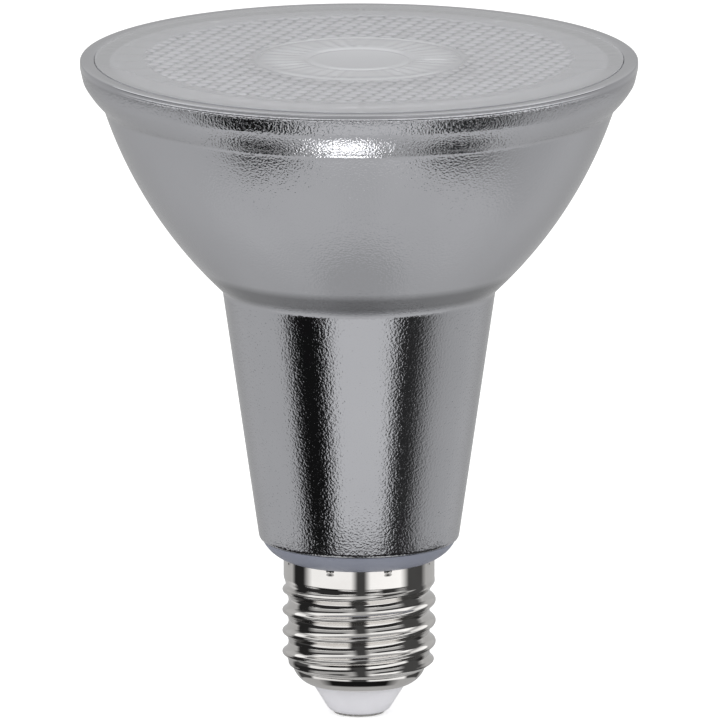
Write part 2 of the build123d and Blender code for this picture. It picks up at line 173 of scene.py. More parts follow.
def noiseField(tree, scale, detail=2.0, roughness=0.5):
    field = tree.nodes.new("ShaderNodeTexNoise")
    field.inputs["Scale"].default_value = scale
    field.inputs["Detail"].default_value = detail
    field.inputs["Roughness"].default_value = roughness
    tree.links.new(objectPlace(tree), field.inputs["Vector"])
    return field.outputs["Fac"]


def between(tree, value, low, high, fromLow=0.3, fromHigh=0.7):
    span = tree.nodes.new("ShaderNodeMapRange")
    span.inputs["From Min"].default_value = fromLow
    span.inputs["From Max"].default_value = fromHigh
    span.inputs["To Min"].default_value = low
    span.inputs["To Max"].default_value = high
    tree.links.new(value, span.inputs["Value"])
    return span.outputs["Result"]


def twoTones(tree, value, first, second, low=0.3, high=0.7):
    ramp = tree.nodes.new("ShaderNodeValToRGB")
    ramp.color_ramp.elements[0].position = low
    ramp.color_ramp.elements[0].color = (*first, 1)
    ramp.color_ramp.elements[1].position = high
    ramp.color_ramp.elements[1].color = (*second, 1)
    tree.links.new(value, ramp.inputs["Fac"])
    return ramp.outputs["Color"]


def mathNode(tree, operation, first, second=None):
    node = tree.nodes.new("ShaderNodeMath")
    node.operation = operation
    for socket, value in zip(node.inputs, (first, second)):
        if isinstance(value, (int, float)):
            socket.default_value = value
        elif value is not None:
            tree.links.new(value, socket)
    return node.outputs[0]


def greyRamp(tree, value, stops):
    node = tree.nodes.new("ShaderNodeValToRGB")
    ramp = node.color_ramp
    ramp.elements.remove(ramp.elements[-1])
    for i, (place, level) in enumerate(stops):
        element = ramp.elements[0] if i == 0 else ramp.elements.new(place)
        element.position = place
        element.color = (level, level, level, 1)
    tree.links.new(value, node.inputs["Fac"])
    return node.outputs["Color"]


def addBump(tree, bsdf, height, distance, strength=1.0):
    bump = tree.nodes.new("ShaderNodeBump")
    bump.inputs["Distance"].default_value = distance
    bump.inputs["Strength"].default_value = strength
    tree.links.new(height, bump.inputs["Height"])
    tree.links.new(bump.outputs["Normal"], bsdf.inputs["Normal"])
    return bump


stipple = {
    "tone": (0.43, 0.434, 0.455),
    "toneWorn": (0.455, 0.459, 0.48),
    "grain": (2700.0, 1.0),  # pebbles a metre, detail
    "height": 0.00005,
    "roughness": (0.06, 0.09),
    "cloud": (60.0, 3.0),
    "depth": [  # height in mm, times deeper
        (30, 1.7), (34, 1.4), (42, 1.1), (52, 1.0), (105.2, 1.0), (106.6, 1.6),
        (112.4, 1.8), (112.8, 0.1), (114, 0.1),
    ],
    "creaseShadeByHeight": [  # height in mm, tone factor: painted shade in the crease just above the neck, and brighter on the rim's top edge
        (74.4, 1.0), (75.3, 0.47), (77.3, 0.47), (78.8, 1.0), (112.5, 1.0), (112.8, 1.25),
    ],
    "rampTop": 120.0,  # a ramp by height runs from 0 to here, in mm
    "rampMost": 3.0,
}


def byHeight(tree, stops):
    split = tree.nodes.new("ShaderNodeSeparateXYZ")
    tree.links.new(objectPlace(tree), split.inputs["Vector"])
    height = mathNode(tree, "DIVIDE", split.outputs["Z"], stipple["rampTop"] * mm)
    places = [(z / stipple["rampTop"], level / stipple["rampMost"]) for z, level in stops]
    return mathNode(tree, "MULTIPLY", greyRamp(tree, height, places), stipple["rampMost"])


def silveredGlass():
    material, tree, bsdf = startMaterial("silveredGlass")
    bsdf.inputs["Metallic"].default_value = 1.0
    cloud = noiseField(tree, *stipple["cloud"])
    tone = twoTones(tree, cloud, stipple["tone"], stipple["toneWorn"])
    # painted shade: the silver's tone darkens by height in the crease above the neck
    tone = mixTones(tree, byHeight(tree, stipple["creaseShadeByHeight"]), 0.0, tone)
    tree.links.new(tone, bsdf.inputs["Base Color"])
    tree.links.new(between(tree, cloud, *stipple["roughness"]), bsdf.inputs["Roughness"])
    pebble = noiseField(tree, *stipple["grain"])
    relief = mathNode(tree, "MULTIPLY", pebble, byHeight(tree, stipple["depth"]))
    addBump(tree, bsdf, relief, stipple["height"])
    return material


acrylic = {
    "tone": (0.84, 0.847, 0.88),
    "cornerShadeTone": (0.3, 0.305, 0.33),  # painted shade where lenslets meet
    "clear": (0.42, 0.6),  # in the thick middle, which looks whiter, and outside it
    "clearReach": (14.0, 20.0),
    "index": 1.49,
    "flow": (90.0, 3.0),
    "roughness": (0.02, 0.07),
    "bump": (0.00004, 0.3),
}


def lensAcrylic():
    s = acrylic
    material, tree, bsdf = startMaterial("lensAcrylic")
    # painted shade: the lens colour darkens where lenslets meet, masked by the corner layer
    corner = tree.nodes.new("ShaderNodeAttribute")
    corner.attribute_name = "corner"
    tone = twoTones(tree, corner.outputs["Fac"], s["tone"], s["cornerShadeTone"], 0, 1)
    tree.links.new(tone, bsdf.inputs["Base Color"])
    clear = between(tree, axisDistance(tree), *s["clear"], *s["clearReach"])
    tree.links.new(clear, bsdf.inputs["Transmission Weight"])
    bsdf.inputs["IOR"].default_value = s["index"]
    flow = noiseField(tree, *s["flow"])
    tree.links.new(between(tree, flow, *s["roughness"]), bsdf.inputs["Roughness"])
    addBump(tree, bsdf, flow, *s["bump"])
    return material


# plain finishes: noise is (scale, detail), bump is (distance, strength)
plainFinish = {
    "collarPlastic": {
        "metallic": 0.0,
        "tones": ((0.252, 0.268, 0.33), (0.278, 0.294, 0.357)),
        "toneNoise": (120.0, 2.0),
        "roughness": (0.38, 0.5),
        "roughNoise": (1800.0, 3.0),
        "bump": (0.00001, 0.5),
        "bumpNoise": (1800.0, 3.0),
    },
    "nickelPlate": {
        "metallic": 1.0,
        "tones": ((0.74, 0.72, 0.70), (0.80, 0.785, 0.765)),
        "toneNoise": (300.0, 4.0),
        "roughness": (0.03, 0.07),
        "roughNoise": (300.0, 4.0),
        "bump": (0.00001, 0.2),
        "bumpNoise": (600.0, 2.0),
    },
    "insulatorWhite": {
        "metallic": 0.0,
        "tones": ((0.875, 0.87, 0.91), (0.905, 0.90, 0.94)),
        "toneNoise": (250.0, 3.0),
        "roughness": (0.3, 0.42),
        "roughNoise": (250.0, 3.0),
        "bump": (0.00002, 0.4),
        "bumpNoise": (250.0, 3.0),
    },
    "contactTin": {
        "metallic": 1.0,
        "tones": ((0.42, 0.41, 0.40), (0.66, 0.65, 0.63)),
        "toneNoise": (1200.0, 4.0),
        "roughness": (0.2, 0.4),
        "roughNoise": (1200.0, 4.0),
        "bump": (0.00008, 0.6),
        "bumpNoise": (1200.0, 4.0),
    },
}


def makeFinish(name, finish):
    material, tree, bsdf = startMaterial(name)
    bsdf.inputs["Metallic"].default_value = finish["metallic"]
    tone = twoTones(tree, noiseField(tree, *finish["toneNoise"]), *finish["tones"])
    tree.links.new(tone, bsdf.inputs["Base Color"])
    rough = between(tree, noiseField(tree, *finish["roughNoise"]), *finish["roughness"])
    tree.links.new(rough, bsdf.inputs["Roughness"])
    addBump(tree, bsdf, noiseField(tree, *finish["bumpNoise"]), *finish["bump"])
    return material


def plain(name):
    return makeFinish(name, plainFinish[name])


# glass reflector
glass = {
    "neckRadius": 17.0,
    "neckEdge": 0.8,
    "shoulderRadius": 23.3,
    "neckLength": 43.5,
    "shoulderSoft": 0.7,
    "bowlHeight": 31.9,
    "bowlRadius": 43.55,
    "bowlBulge": 2.37,
    "bowlSoft": 0.5,
    "flareHeight": 4.3,
    "flareRadius": 46.95,
    "flareBulge": 0.22,
    "flareSoft": 0.5,
    "rimEdge": 1.2,
    "rimRound": 0.35,
    "lipRound": 0.2,
    "wall": 2.2,
    "rimBore": 41.9,
    "rimBoreDepth": 7.2,
    "boreRise": 0.9,  # inside of the shoulder, above the outside
    "seatRadius": 26.4,
    "insideBulge": 1.422,
    "lensGap": 0.04,
    "bowlSteps": 40,
    "flareSteps": 8,
    "insideSteps": 24,
    "segments": 256,
    "sharpAngle": 50,
}


def makeGlass():
    g = glass
    bottom = lowOf("glass_reflector")
    top = highOf("glass_reflector")
    rim = radiusOf("glass_reflector")
    lip = radiusOf("front_lens") + g["lensGap"]
    lensSeat = lowOf("lens_seal")
    shoulder = bottom + g["neckLength"]
    bowlTop = shoulder + g["bowlHeight"]
    flareTop = bowlTop + g["flareHeight"]
    neckBore = g["neckRadius"] - g["wall"]
    shoulderBore = g["shoulderRadius"] - g["wall"]
    boreZ = shoulder + g["boreRise"]
    seatZ = boreZ + g["seatRadius"] - shoulderBore
    neckTop, bowlEdge = (g["shoulderRadius"], shoulder), (g["bowlRadius"], bowlTop)
    bowl = arcPoints(neckTop, bowlEdge, g["bowlBulge"], g["bowlSteps"])
    flare = arcPoints(bowlEdge, (g["flareRadius"], flareTop), g["flareBulge"], g["flareSteps"])
    boreEdge, seatEdge = (g["rimBore"], top - g["rimBoreDepth"]), (g["seatRadius"], seatZ)
    inside = arcPoints(boreEdge, seatEdge, -g["insideBulge"], g["insideSteps"])
    outline = [(neckBore, bottom), (g["neckRadius"], bottom, g["neckEdge"])]
    outline += [(*bowl[0], g["shoulderSoft"])] + bowl[1:-1]
    outline += [(*flare[0], g["bowlSoft"])] + flare[1:-1] + [(*flare[-1], g["flareSoft"])]
    outline += [(rim, top - g["rimEdge"]), (rim, top, g["rimRound"]), (lip, top, g["lipRound"])]
    outline += [(lip, lensSeat), (g["rimBore"], lensSeat)]
    outline += inside + [(shoulderBore, boreZ), (neckBore, bottom)]
    bm = bmesh.new()
    addSpin(bm, softened(outline), g["segments"])
    piece = toObject(bm, "glassBody", g["sharpAngle"])
    settle(piece, "glass_reflector", silveredGlass())


# front lens: round plate, hexagonal lenslets on its face, faceted collimator underneath
lens = {
    "edgeRound": 0.15,
    "faceRadius": 37.4,
    "lensletPitch": 2.6,
    "lensletTurn": 10.0,
    "lensletSag": 0.42,
    "lensletSteps": 9,
    "edgeGap": 0.6,  # between the lenslets' points and the face's edge, in steps
    "fieldRadius": 36.6,
    "dishRadius": 11.0,
    "dishDepth": 0.3,
    "flutes": 36,
    "fluteBeats": 7,  # the flutes fade in and out this many times
    "fluteSwing": 0.45,
    "fluteShift": 2.0,
    "fluteDepth": 0.15,
    "fluteFrom": 9.6,
    "fluteTo": 17.0,
    "fluteFade": 2.0,
    "fieldMargin": 1.2,
    # the painted shade where lenslets meet starts this far from a lenslet's middle towards its corners
    "fieldFade": 0.8,
    "cornerShadeFrom": 0.72,
    "grooves": [(8.8, 0.2), (17.6, 0.25)],
    "grooveWidth": 0.55,
    "opticTop": 20.0,
    "opticWall": 1.3,  # round the cavity, at the foot
    "opticBulge": 1.6,
    "cavityRadius": 5.7,
    "cavityHeight": 8.0,
    "facetRows": 12,
    "facets": 40,
    "segments": 240,
    "sharpAngle": 30,
}


def cornerShare(x, y):  # 0 in the middle of a lenslet, 1 where three of them meet
    s = lens
    turn = math.radians(s["lensletTurn"])
    u = x * math.cos(turn) + y * math.sin(turn)
    v = -x * math.sin(turn) + y * math.cos(turn)
    pitch, rowStep = s["lensletPitch"], s["lensletPitch"] * math.sqrt(3) / 2
    nearest = pitch
    for row in (math.floor(v / rowStep), math.floor(v / rowStep) + 1):
        shift = pitch / 2 if row % 2 else 0.0
        du = (u - shift) - pitch * round((u - shift) / pitch)
        nearest = min(nearest, math.hypot(du, v - row * rowStep))
    return nearest / (pitch / math.sqrt(3))


def fieldShare(r):
    s = lens
    start = s["fluteTo"] + s["fieldMargin"]
    return share((r - start) / s["fieldFade"]) * share((s["fieldRadius"] - r) / s["fieldFade"])


def lensFaceHeight(x, y):
    s = lens
    r = math.hypot(x, y)
    theta = math.atan2(y, x)
    height = -s["dishDepth"] * max(0, 1 - (r / s["dishRadius"]) ** 2)
    swell = share((r - s["fluteFrom"]) / s["fluteFade"]) * share((s["fluteTo"] - r) / s["fluteFade"])
    swell *= 1 - s["fluteSwing"] + s["fluteSwing"] * math.sin(s["fluteBeats"] * theta + s["fluteShift"])
    height -= s["fluteDepth"] * swell * (0.5 - 0.5 * math.cos(s["flutes"] * theta))
    for place, deep in s["grooves"]:
        height -= deep * math.exp(-((r - place) / s["grooveWidth"]) ** 2)
    return height - s["lensletSag"] * cornerShare(x, y) ** 2 * fieldShare(r)


def addLensFace(bm, top):
    s = lens
    step = s["lensletPitch"] / s["lensletSteps"]
    turn = math.radians(s["lensletTurn"])
    reach = s["faceRadius"] - step * s["edgeGap"]
    points = []
    rows = int(reach / (step * math.sqrt(3) / 2)) + 1
    for j in range(-rows, rows + 1):
        v = j * step * math.sqrt(3) / 2
        for i in range(-rows, rows + 1):
            u = (i + (0.5 if j % 2 else 0.0)) * step
            if u * u + v * v < reach * reach:
                x = u * math.cos(turn) - v * math.sin(turn)
                y = u * math.sin(turn) + v * math.cos(turn)
                points.append(Vector((x, y)))
    count = s["segments"]
    for k in range(count):
        angle = 2 * math.pi * k / count
        points.append(Vector((s["faceRadius"] * math.cos(angle), s["faceRadius"] * math.sin(angle))))
    flat = delaunay_2d_cdt(points, [], [], 0, 1e-6)
    # the corner layer masks the painted shade where lenslets meet
    corner = bm.verts.layers.float.new("corner")
    verts = []
    for p in flat[0]:
        vert = bm.verts.new((p.x * mm, p.y * mm, (top + lensFaceHeight(p.x, p.y)) * mm))
        past = (cornerShare(p.x, p.y) - s["cornerShadeFrom"]) / (1 - s["cornerShadeFrom"])
        vert[corner] = max(0, past) * fieldShare(p.length)
        verts.append(vert)
    for face in flat[2]:
        bm.faces.new([verts[i] for i in face]).smooth = True


def makeLens():
    s = lens
    low = lowOf("front_lens")
    top = highOf("front_lens")
    radius = radiusOf("front_lens")
    plate = highOf("lens_seal")
    ring = [(s["opticTop"], plate), (radius, plate), (radius, top, s["edgeRound"]), (s["faceRadius"], top)]
    foot = (s["cavityRadius"] + s["opticWall"], low)
    wall = arcPoints(foot, (s["opticTop"], plate), s["opticBulge"], s["facetRows"])
    roof = low + s["cavityHeight"]
    cavity = [(0.0, roof), (s["cavityRadius"], roof), (s["cavityRadius"], low), wall[0]]
    bm = bmesh.new()
    addLensFace(bm, top)
    addSpin(bm, softened(ring), s["segments"])
    addSpin(bm, cavity, s["facets"])
    addSpin(bm, wall, s["facets"], smooth=False)
    piece = toObject(bm, "lensMoulding", s["sharpAngle"])
    settle(piece, "front_lens", lensAcrylic())


# screw shell: thin rolled sheet, so the thread shows on both faces
shell = {
    "pitch": 3.629,
    "crest": 13.1,
    "crestBend": 0.45,
    "rootBend": 1.65,
    "firstCrest": 8.87,  # height of a crest on the +X side
    "mouth": 8.1,
    "domeRadius": 11.3,
    "domeHeight": 2.9,
    "domeBulge": 0.6,
    "domeFlare": 1.4,
    "domeSoft": 0.3,
    "fadeFrom": 21.2,
    "fadeTo": 24.2,
    "band": 12.9,
    "sheet": 0.4,
    "crimps": 8,
    "crimpTurn": 22.5,
    "crimpRadius": 0.5,
    "crimpDepth": 0.17,
    "crimpDrop": 0.4,
    "segments": 320,
    "rings": 220,
    "innerSkip": 6,  # the inside needs fewer rings
    "sharpAngle": 60,
}


def threadRadius(angle, z):
    s = shell
    phase = (z - s["firstCrest"]) / s["pitch"] - angle / (2 * math.pi)
    away = abs(phase - round(phase)) * s["pitch"]
    half = s["pitch"] / 2
    bends = s["crestBend"] + s["rootBend"]
    meet = half * s["crestBend"] / bends  # the two arcs meet here with one slope
    if away < meet:
        return s["crest"] - s["crestBend"] + math.sqrt(s["crestBend"] ** 2 - away ** 2)
    depth = bends - math.sqrt(bends ** 2 - half ** 2)
    away = half - away
    return s["crest"] - depth + s["rootBend"] - math.sqrt(s["rootBend"] ** 2 - away ** 2)


def domeRadius(z, bottom):
    s = shell
    dr, dz, bulge = s["domeRadius"] - s["mouth"], s["domeHeight"], s["domeBulge"]
    chord = math.hypot(dr, dz)
    bend = (chord * chord / 4 + bulge * bulge) / (2 * bulge)
    middleR = s["mouth"] + dr / 2 - (bend - bulge) * dz / chord
    middleZ = bottom + dz / 2 + (bend - bulge) * dr / chord
    if z > bottom + dz:
        return s["domeRadius"] + (z - bottom - dz) * s["domeFlare"]
    return middleR + math.sqrt(bend * bend - (z - middleZ) ** 2)


def shellRadius(angle, z, bottom, top):
    s = shell
    t = share((z - s["fadeFrom"]) / (s["fadeTo"] - s["fadeFrom"]))
    t = t * t * (3 - 2 * t)
    body = threadRadius(angle, z) * (1 - t) + s["band"] * t
    dome = domeRadius(z, bottom)
    soft = max(0, s["domeSoft"] - abs(body - dome))  # rounds the edge where the dome cuts the thread off
    radius = min(body, dome) - soft * soft / (4 * s["domeSoft"])
    sector = 2 * math.pi / s["crimps"]
    away = (angle - math.radians(s["crimpTurn"]) + sector / 2) % sector - sector / 2
    dent = math.hypot(away * s["band"], z - top + s["crimpDrop"]) / s["crimpRadius"]
    if dent < 1:
        radius -= s["crimpDepth"] * (1 - dent * dent)
    return radius


def shellInside(angle, z, bottom, top):
    return min(shellRadius(angle, z, bottom, top), shell["band"]) - shell["sheet"]


def shellRing(bm, radiusAt, z, bottom, top):
    ring = []
    for k in range(shell["segments"]):
        angle = 2 * math.pi * k / shell["segments"]
        r = radiusAt(angle, z, bottom, top)
        ring.append(bm.verts.new((r * mm * math.cos(angle), r * mm * math.sin(angle), z * mm)))
    return ring


def makeShell():
    s = shell
    bottom = lowOf("screw_shell")
    top = highOf("screw_shell")
    bm = bmesh.new()
    heights = [bottom + (top - bottom) * i / s["rings"] for i in range(s["rings"] + 1)]
    rings = [shellRing(bm, shellRadius, z, bottom, top) for z in heights]
    rings += [shellRing(bm, shellInside, z, bottom, top) for z in reversed(heights[::s["innerSkip"]])]
    for low, high in zip(rings, rings[1:] + rings[:1]):
        for k in range(s["segments"]):
            t = (k + 1) % s["segments"]
            bm.faces.new((low[k], low[t], high[t], high[k])).smooth = True
    piece = toObject(bm, "screwShell", s["sharpAngle"])
    settle(piece, "screw_shell", plain("nickelPlate"))


# small turned pieces
collar = {
    "bulge": 0.5,
    "bulgeSteps": 14,
    "lowerEdge": 0.25,
    "topEdge": 0.2,
    "bore": 10.2,
    "skirt": 12.4,
    "spigot": 14.7,
    "segments": 192,
}


def makeCollar():
    c = collar
    low = lowOf("collar")
    high = highOf("collar")
    rim = lowOf("glass_reflector")
    bottom = highOf("screw_shell")
    band = shell["band"]
    side = arcPoints((band, bottom), (radiusOf("collar"), rim), c["bulge"], c["bulgeSteps"])
    outline = [(c["skirt"], low), (c["skirt"], bottom), (*side[0], c["lowerEdge"])] + side[1:-1]
    outline += [(*side[-1], c["topEdge"]), (c["spigot"], rim), (c["spigot"], high)]
    outline += [(c["bore"], high), (c["bore"], low)]
    bm = bmesh.new()
    addSpin(bm, softened(outline), c["segments"], close=True)
    settle(toObject(bm, "collarRing"), "collar", plain("collarPlastic"))


insulator = {
    "hole": 1.6,
    "tip": 5.0,
    "tipSoft": 0.9,
    "neck": 8.0,
    "neckHeight": 0.5,
    "coneHeight": 4.8,
    "flange": 10.1,
    "flangeHeight": 1.5,
    "segments": 160,
}


def makeInsulator():
    c = insulator
    low = lowOf("cap_insulator")
    high = highOf("cap_insulator")
    cone = low + c["coneHeight"]
    outline = [(c["hole"], low), (c["tip"], low, c["tipSoft"])]
    outline += [(c["neck"], cone), (c["neck"], cone + c["neckHeight"])]
    outline += [(c["flange"], high - c["flangeHeight"]), (c["flange"], high), (c["hole"], high)]
    bm = bmesh.new()
    addSpin(bm, softened(outline), c["segments"], close=True)
    settle(toObject(bm, "insulatorCone"), "cap_insulator", plain("insulatorWhite"))


contact = {
    "edge": 0.25,
    "crown": 0.1,
    "crownBulge": 0.03,
    "crownSteps": 8,
    "eyelet": 1.5,
    "segments": 96,
}


def makeContact():
    c = contact
    low = lowOf("centre_contact")
    radius = radiusOf("centre_contact")
    plate = lowOf("cap_insulator")
    high = highOf("centre_contact")
    crown = low + c["crown"]
    face = arcPoints((0.0, low), (radius - c["edge"], crown), c["crownBulge"], c["crownSteps"])
    outline = face[:-1] + [(radius, crown, c["edge"]), (radius, plate)]
    outline += [(c["eyelet"], plate), (c["eyelet"], high), (0.0, high)]
    bm = bmesh.new()
    addSpin(bm, softened(outline), c["segments"])
    settle(toObject(bm, "contactDisc"), "centre_contact", plain("contactTin"))


# CAD nodes that keep their own mesh, all with the same fine grain
innerGrain = {
    "noise": (900.0, 3.0),
    "darker": 0.86,
    "roughSpread": 0.15,
    "bump": (0.00002, 0.4),
}
innerFinish = {  # tone, roughness, metallic
    "lens_seal": ((0.62, 0.62, 0.62), 0.5, 0.0),
    "heat_spreader": ((0.72, 0.73, 0.74), 0.3, 1.0),
    "led_board": ((0.80, 0.80, 0.78), 0.45, 0.0),
    "led_emitter": ((0.82, 0.81, 0.77), 0.5, 0.0),
    "led_phosphor": ((0.80, 0.62, 0.10), 0.35, 0.0),
    "board_screws": ((0.58, 0.58, 0.58), 0.3, 1.0),
    "driver_sleeve": ((0.78, 0.78, 0.76), 0.5, 0.0),
    "driver_board": ((0.03, 0.17, 0.07), 0.45, 0.0),
    "bulk_capacitor": ((0.03, 0.03, 0.04), 0.3, 0.0),
    "output_capacitor": ((0.03, 0.03, 0.05), 0.3, 0.0),
    "film_capacitor": ((0.45, 0.07, 0.04), 0.3, 0.0),
    "transformer_core": ((0.05, 0.05, 0.055), 0.6, 0.0),
    "transformer_bobbin": ((0.06, 0.06, 0.06), 0.5, 0.0),
    "transformer_winding": ((0.70, 0.33, 0.15), 0.35, 1.0),
    "filter_choke": ((0.05, 0.05, 0.055), 0.6, 0.0),
    "bridge_rectifier": ((0.02, 0.02, 0.02), 0.5, 0.0),
    "control_chip": ((0.02, 0.02, 0.02), 0.5, 0.0),
    "fuse_resistor": ((0.25, 0.42, 0.48), 0.4, 0.0),
    "live_lead": ((0.16, 0.07, 0.03), 0.4, 0.0),
    "neutral_lead": ((0.03, 0.08, 0.40), 0.4, 0.0),
    "led_lead_positive": ((0.45, 0.02, 0.02), 0.4, 0.0),
    "led_lead_negative": ((0.02, 0.02, 0.02), 0.4, 0.0),
}


def finishInside():
    g = innerGrain
    for name, (tone, roughness, metallic) in innerFinish.items():
        finish = {
            "metallic": metallic,
            "tones": (tuple(g["darker"] * c for c in tone), tone),
            "toneNoise": g["noise"],
            "roughness": (roughness * (1 - g["roughSpread"]), roughness * (1 + g["roughSpread"])),
            "roughNoise": g["noise"],
            "bump": g["bump"],
            "bumpNoise": g["noise"],
        }
        nodes[name].data.materials.clear()
        nodes[name].data.materials.append(makeFinish(name + "Finish", finish))
    print("inner nodes finished:", len(innerFinish))


# studio: pale floor, soft light, and a tent with dark gaps that the bright metal mirrors
studio = {
    "softLight": 0.75,
    "bandBlend": 0.8,
    "bands": [  # elevation where a band starts, then its (bearing, level) stops; bearing 0 faces the camera
        (-90, [(-180, 0.6), (180, 0.6)]),
        (-77, [(-180, 0.6), (-60, 0.78), (-12, 0.8), (0, 0.75), (12, 0.8), (60, 0.78), (180, 0.6)]),
        (-66, [(-180, 0.55), (-118, 0.7), (-95, 0.8), (-15, 0.8), (0, 0.75), (15, 0.8), (95, 0.8),
               (118, 0.7), (180, 0.55)]),
        (-54, [(-180, 0.6), (-130, 0.66), (-95, 0.8), (-15, 0.8), (0, 0.78), (15, 0.8), (95, 0.8),
               (130, 0.66), (180, 0.6)]),
        (-46, [(-180, 0.5), (-155, 0.52), (-130, 0.68), (-100, 0.72), (-74, 0.71), (-64, 0.012),
               (-34, 0.012), (-25, 0.95), (29, 0.95), (39, 0.03), (58, 0.05), (74, 0.45), (84, 0.58),
               (100, 0.65), (114, 0.67), (130, 0.7), (155, 0.52), (180, 0.5)]),
        (-18, [(-180, 0.5), (-125, 0.5), (-95, 0.05), (95, 0.05), (125, 0.5), (180, 0.5)]),
        (-14, [(-180, 0.5), (-120, 0.5), (-95, 0.9), (-83, 1.1), (0, 1.15), (73, 1.3), (95, 0.9),
               (120, 0.5), (180, 0.5)]),
        (-10.2, [(-180, 0.5), (-130, 0.48), (-20, 0.42), (20, 0.5), (60, 0.5), (130, 0.48), (180, 0.5)]),
        (13, [(-180, 0.6), (-135, 0.5), (-115, 0.06), (-30, 0.05), (-18, 0.45), (18, 0.45), (30, 0.05),
              (115, 0.06), (135, 0.5), (180, 0.6)]),
        (30, [(-180, 1.5), (-140, 1.2), (-115, 0.4), (-98, 1.1), (-20, 1.05), (-8, 0.5), (8, 0.5),
              (20, 1.1), (98, 1.25), (115, 0.4), (140, 1.2), (180, 1.5)]),
        (51, [(-180, 0.5), (0, 0.4), (180, 0.5)]),
    ],
}


def bearingOf(tree, vector):
    split = tree.nodes.new("ShaderNodeSeparateXYZ")
    tree.links.new(vector, split.inputs["Vector"])
    front = mathNode(tree, "MULTIPLY", split.outputs["Y"], -1)
    azimuth = mathNode(tree, "ARCTAN2", split.outputs["X"], front)
    turn = mathNode(tree, "ADD", mathNode(tree, "MULTIPLY", azimuth, 1 / (2 * math.pi)), 0.5)
    return turn, split.outputs["Z"]


def bearingRamp(tree, turn, stops):
    return greyRamp(tree, turn, [(degree / 360 + 0.5, level) for degree, level in stops])


def riseNode(tree, value, low, high):
    node = tree.nodes.new("ShaderNodeMapRange")
    node.interpolation_type = "SMOOTHSTEP"
    node.inputs["From Min"].default_value = low
    node.inputs["From Max"].default_value = high
    tree.links.new(value, node.inputs["Value"])
    return node.outputs["Result"]


def mixTones(tree, factor, first, second):
    node = tree.nodes.new("ShaderNodeMix")
    node.data_type = "RGBA"
    node.clamp_factor = False
    tree.links.new(factor, node.inputs[0])
    for socket, value in ((node.inputs[6], first), (node.inputs[7], second)):
        if isinstance(value, float):
            socket.default_value = (value, value, value, 1)
        else:
            tree.links.new(value, socket)
    return node.outputs[2]


def stackBands(tree, value, turn, bands, blend):
    tone = bearingRamp(tree, turn, bands[0][1])
    for start, stops in bands[1:]:
        edge = riseNode(tree, value, start - blend, start + blend)
        tone = mixTones(tree, edge, tone, bearingRamp(tree, turn, stops))
    return tone


def makeWorld():
    s = studio
    world = bpy.data.worlds.new("studioTent")
    scene.world = world
    world.use_nodes = True
    tree = world.node_tree
    turn, height = bearingOf(tree, tree.nodes.new("ShaderNodeTexCoord").outputs["Generated"])
    elevation = mathNode(tree, "MULTIPLY", mathNode(tree, "ARCSINE", height), 180 / math.pi)
    mirrored = stackBands(tree, elevation, turn, s["bands"], s["bandBlend"])
    path = tree.nodes.new("ShaderNodeLightPath")
    seen = mathNode(tree, "MAXIMUM", path.outputs["Is Glossy Ray"], path.outputs["Is Transmission Ray"])
    light = mixTones(tree, seen, s["softLight"], mirrored)
    light = mixTones(tree, path.outputs["Is Camera Ray"], light, 1.0)
    tree.links.new(light, tree.nodes["Background"].inputs["Color"])


# cards round the lamp, each seen only by mirrored rays of some lengths
# painted shadow: the near card's dark rings stand in for the lamp's own shadow on the floor round its foot,
# seen only in mirrored rays
nearCard = {
    "radius": 75.0,
    "segments": 64,
    "drop": 0.01,  # below zero, in mm
    "reach": (48.0, 58.0),
    "blend": 0.7,
    "rings": [  # radius where a ring starts, then its (bearing, level) stops
        (0, [(-180, 0.45), (180, 0.45)]),
        (10.6, [(-180, 0.45), (-62, 0.45), (-40, 0.01), (40, 0.01), (62, 0.45), (180, 0.45)]),
        (16.5, [(-180, 0.4), (-125, 0.4), (-112, 0.06), (-78, 0.06), (-70, 1.0), (-16, 1.0), (-9, 0.06),
                (9, 0.06), (15, 1.15), (70, 1.15), (78, 0.06), (112, 0.06), (125, 0.4), (180, 0.4)]),
        (26.5, [(-180, 0.4), (-125, 0.4), (-112, 0.025), (112, 0.025), (125, 0.4), (180, 0.4)]),
        (42, [(-180, 0.42), (-125, 0.42), (-112, 0.03), (112, 0.03), (125, 0.42), (180, 0.42)]),
    ],
}
farCardShape = {"segments": 48, "drop": 0.02}
farCards = {  # centre, half sizes, turn, level, reach
    "hotCard": ((-7.0, -46.0), (12.0, 22.0), 0.0, 4.2, (100.0, 104.0)),
    "dimCardLeft": ((-55.0, -20.0), (19.0, 28.0), -18.0, 0.02, (108.0, 113.0)),
    "dimCardRight": ((54.0, -20.0), (20.0, 28.0), 18.0, 0.05, (108.0, 113.0)),
}
glintRing = {  # lights the flanks, where the thread mirrors itself
    "radius": 27.0,
    "low": -20.0,
    "high": 26.0,
    "reach": (42.0, 48.0),
    "stops": [(-180, 0.4), (-125, 0.4), (-108, 0.08), (-72, 0.08), (-66, 1.0), (-16, 1.0), (-9, 0.06),
              (9, 0.06), (15, 1.1), (66, 1.1), (72, 0.08), (108, 0.08), (125, 0.4), (180, 0.4)],
}
flags = {  # darken stripes down the cap
    "radius": 25.0,
    "height": 25.0,
    "reach": (38.0, 44.0),
    "tones": [(-70, 0.02), (0, 0.06), (74, 0.07)],
    "gaps": [(-180, 1), (-97, 1), (-89, 0), (-72, 0), (-58, 1), (-9, 1), (-2, 0), (6, 0), (13, 1),
             (50, 1), (62, 0), (86, 0), (97, 1), (180, 1)],  # 0 where a flag hangs
}


ringSegments = 72


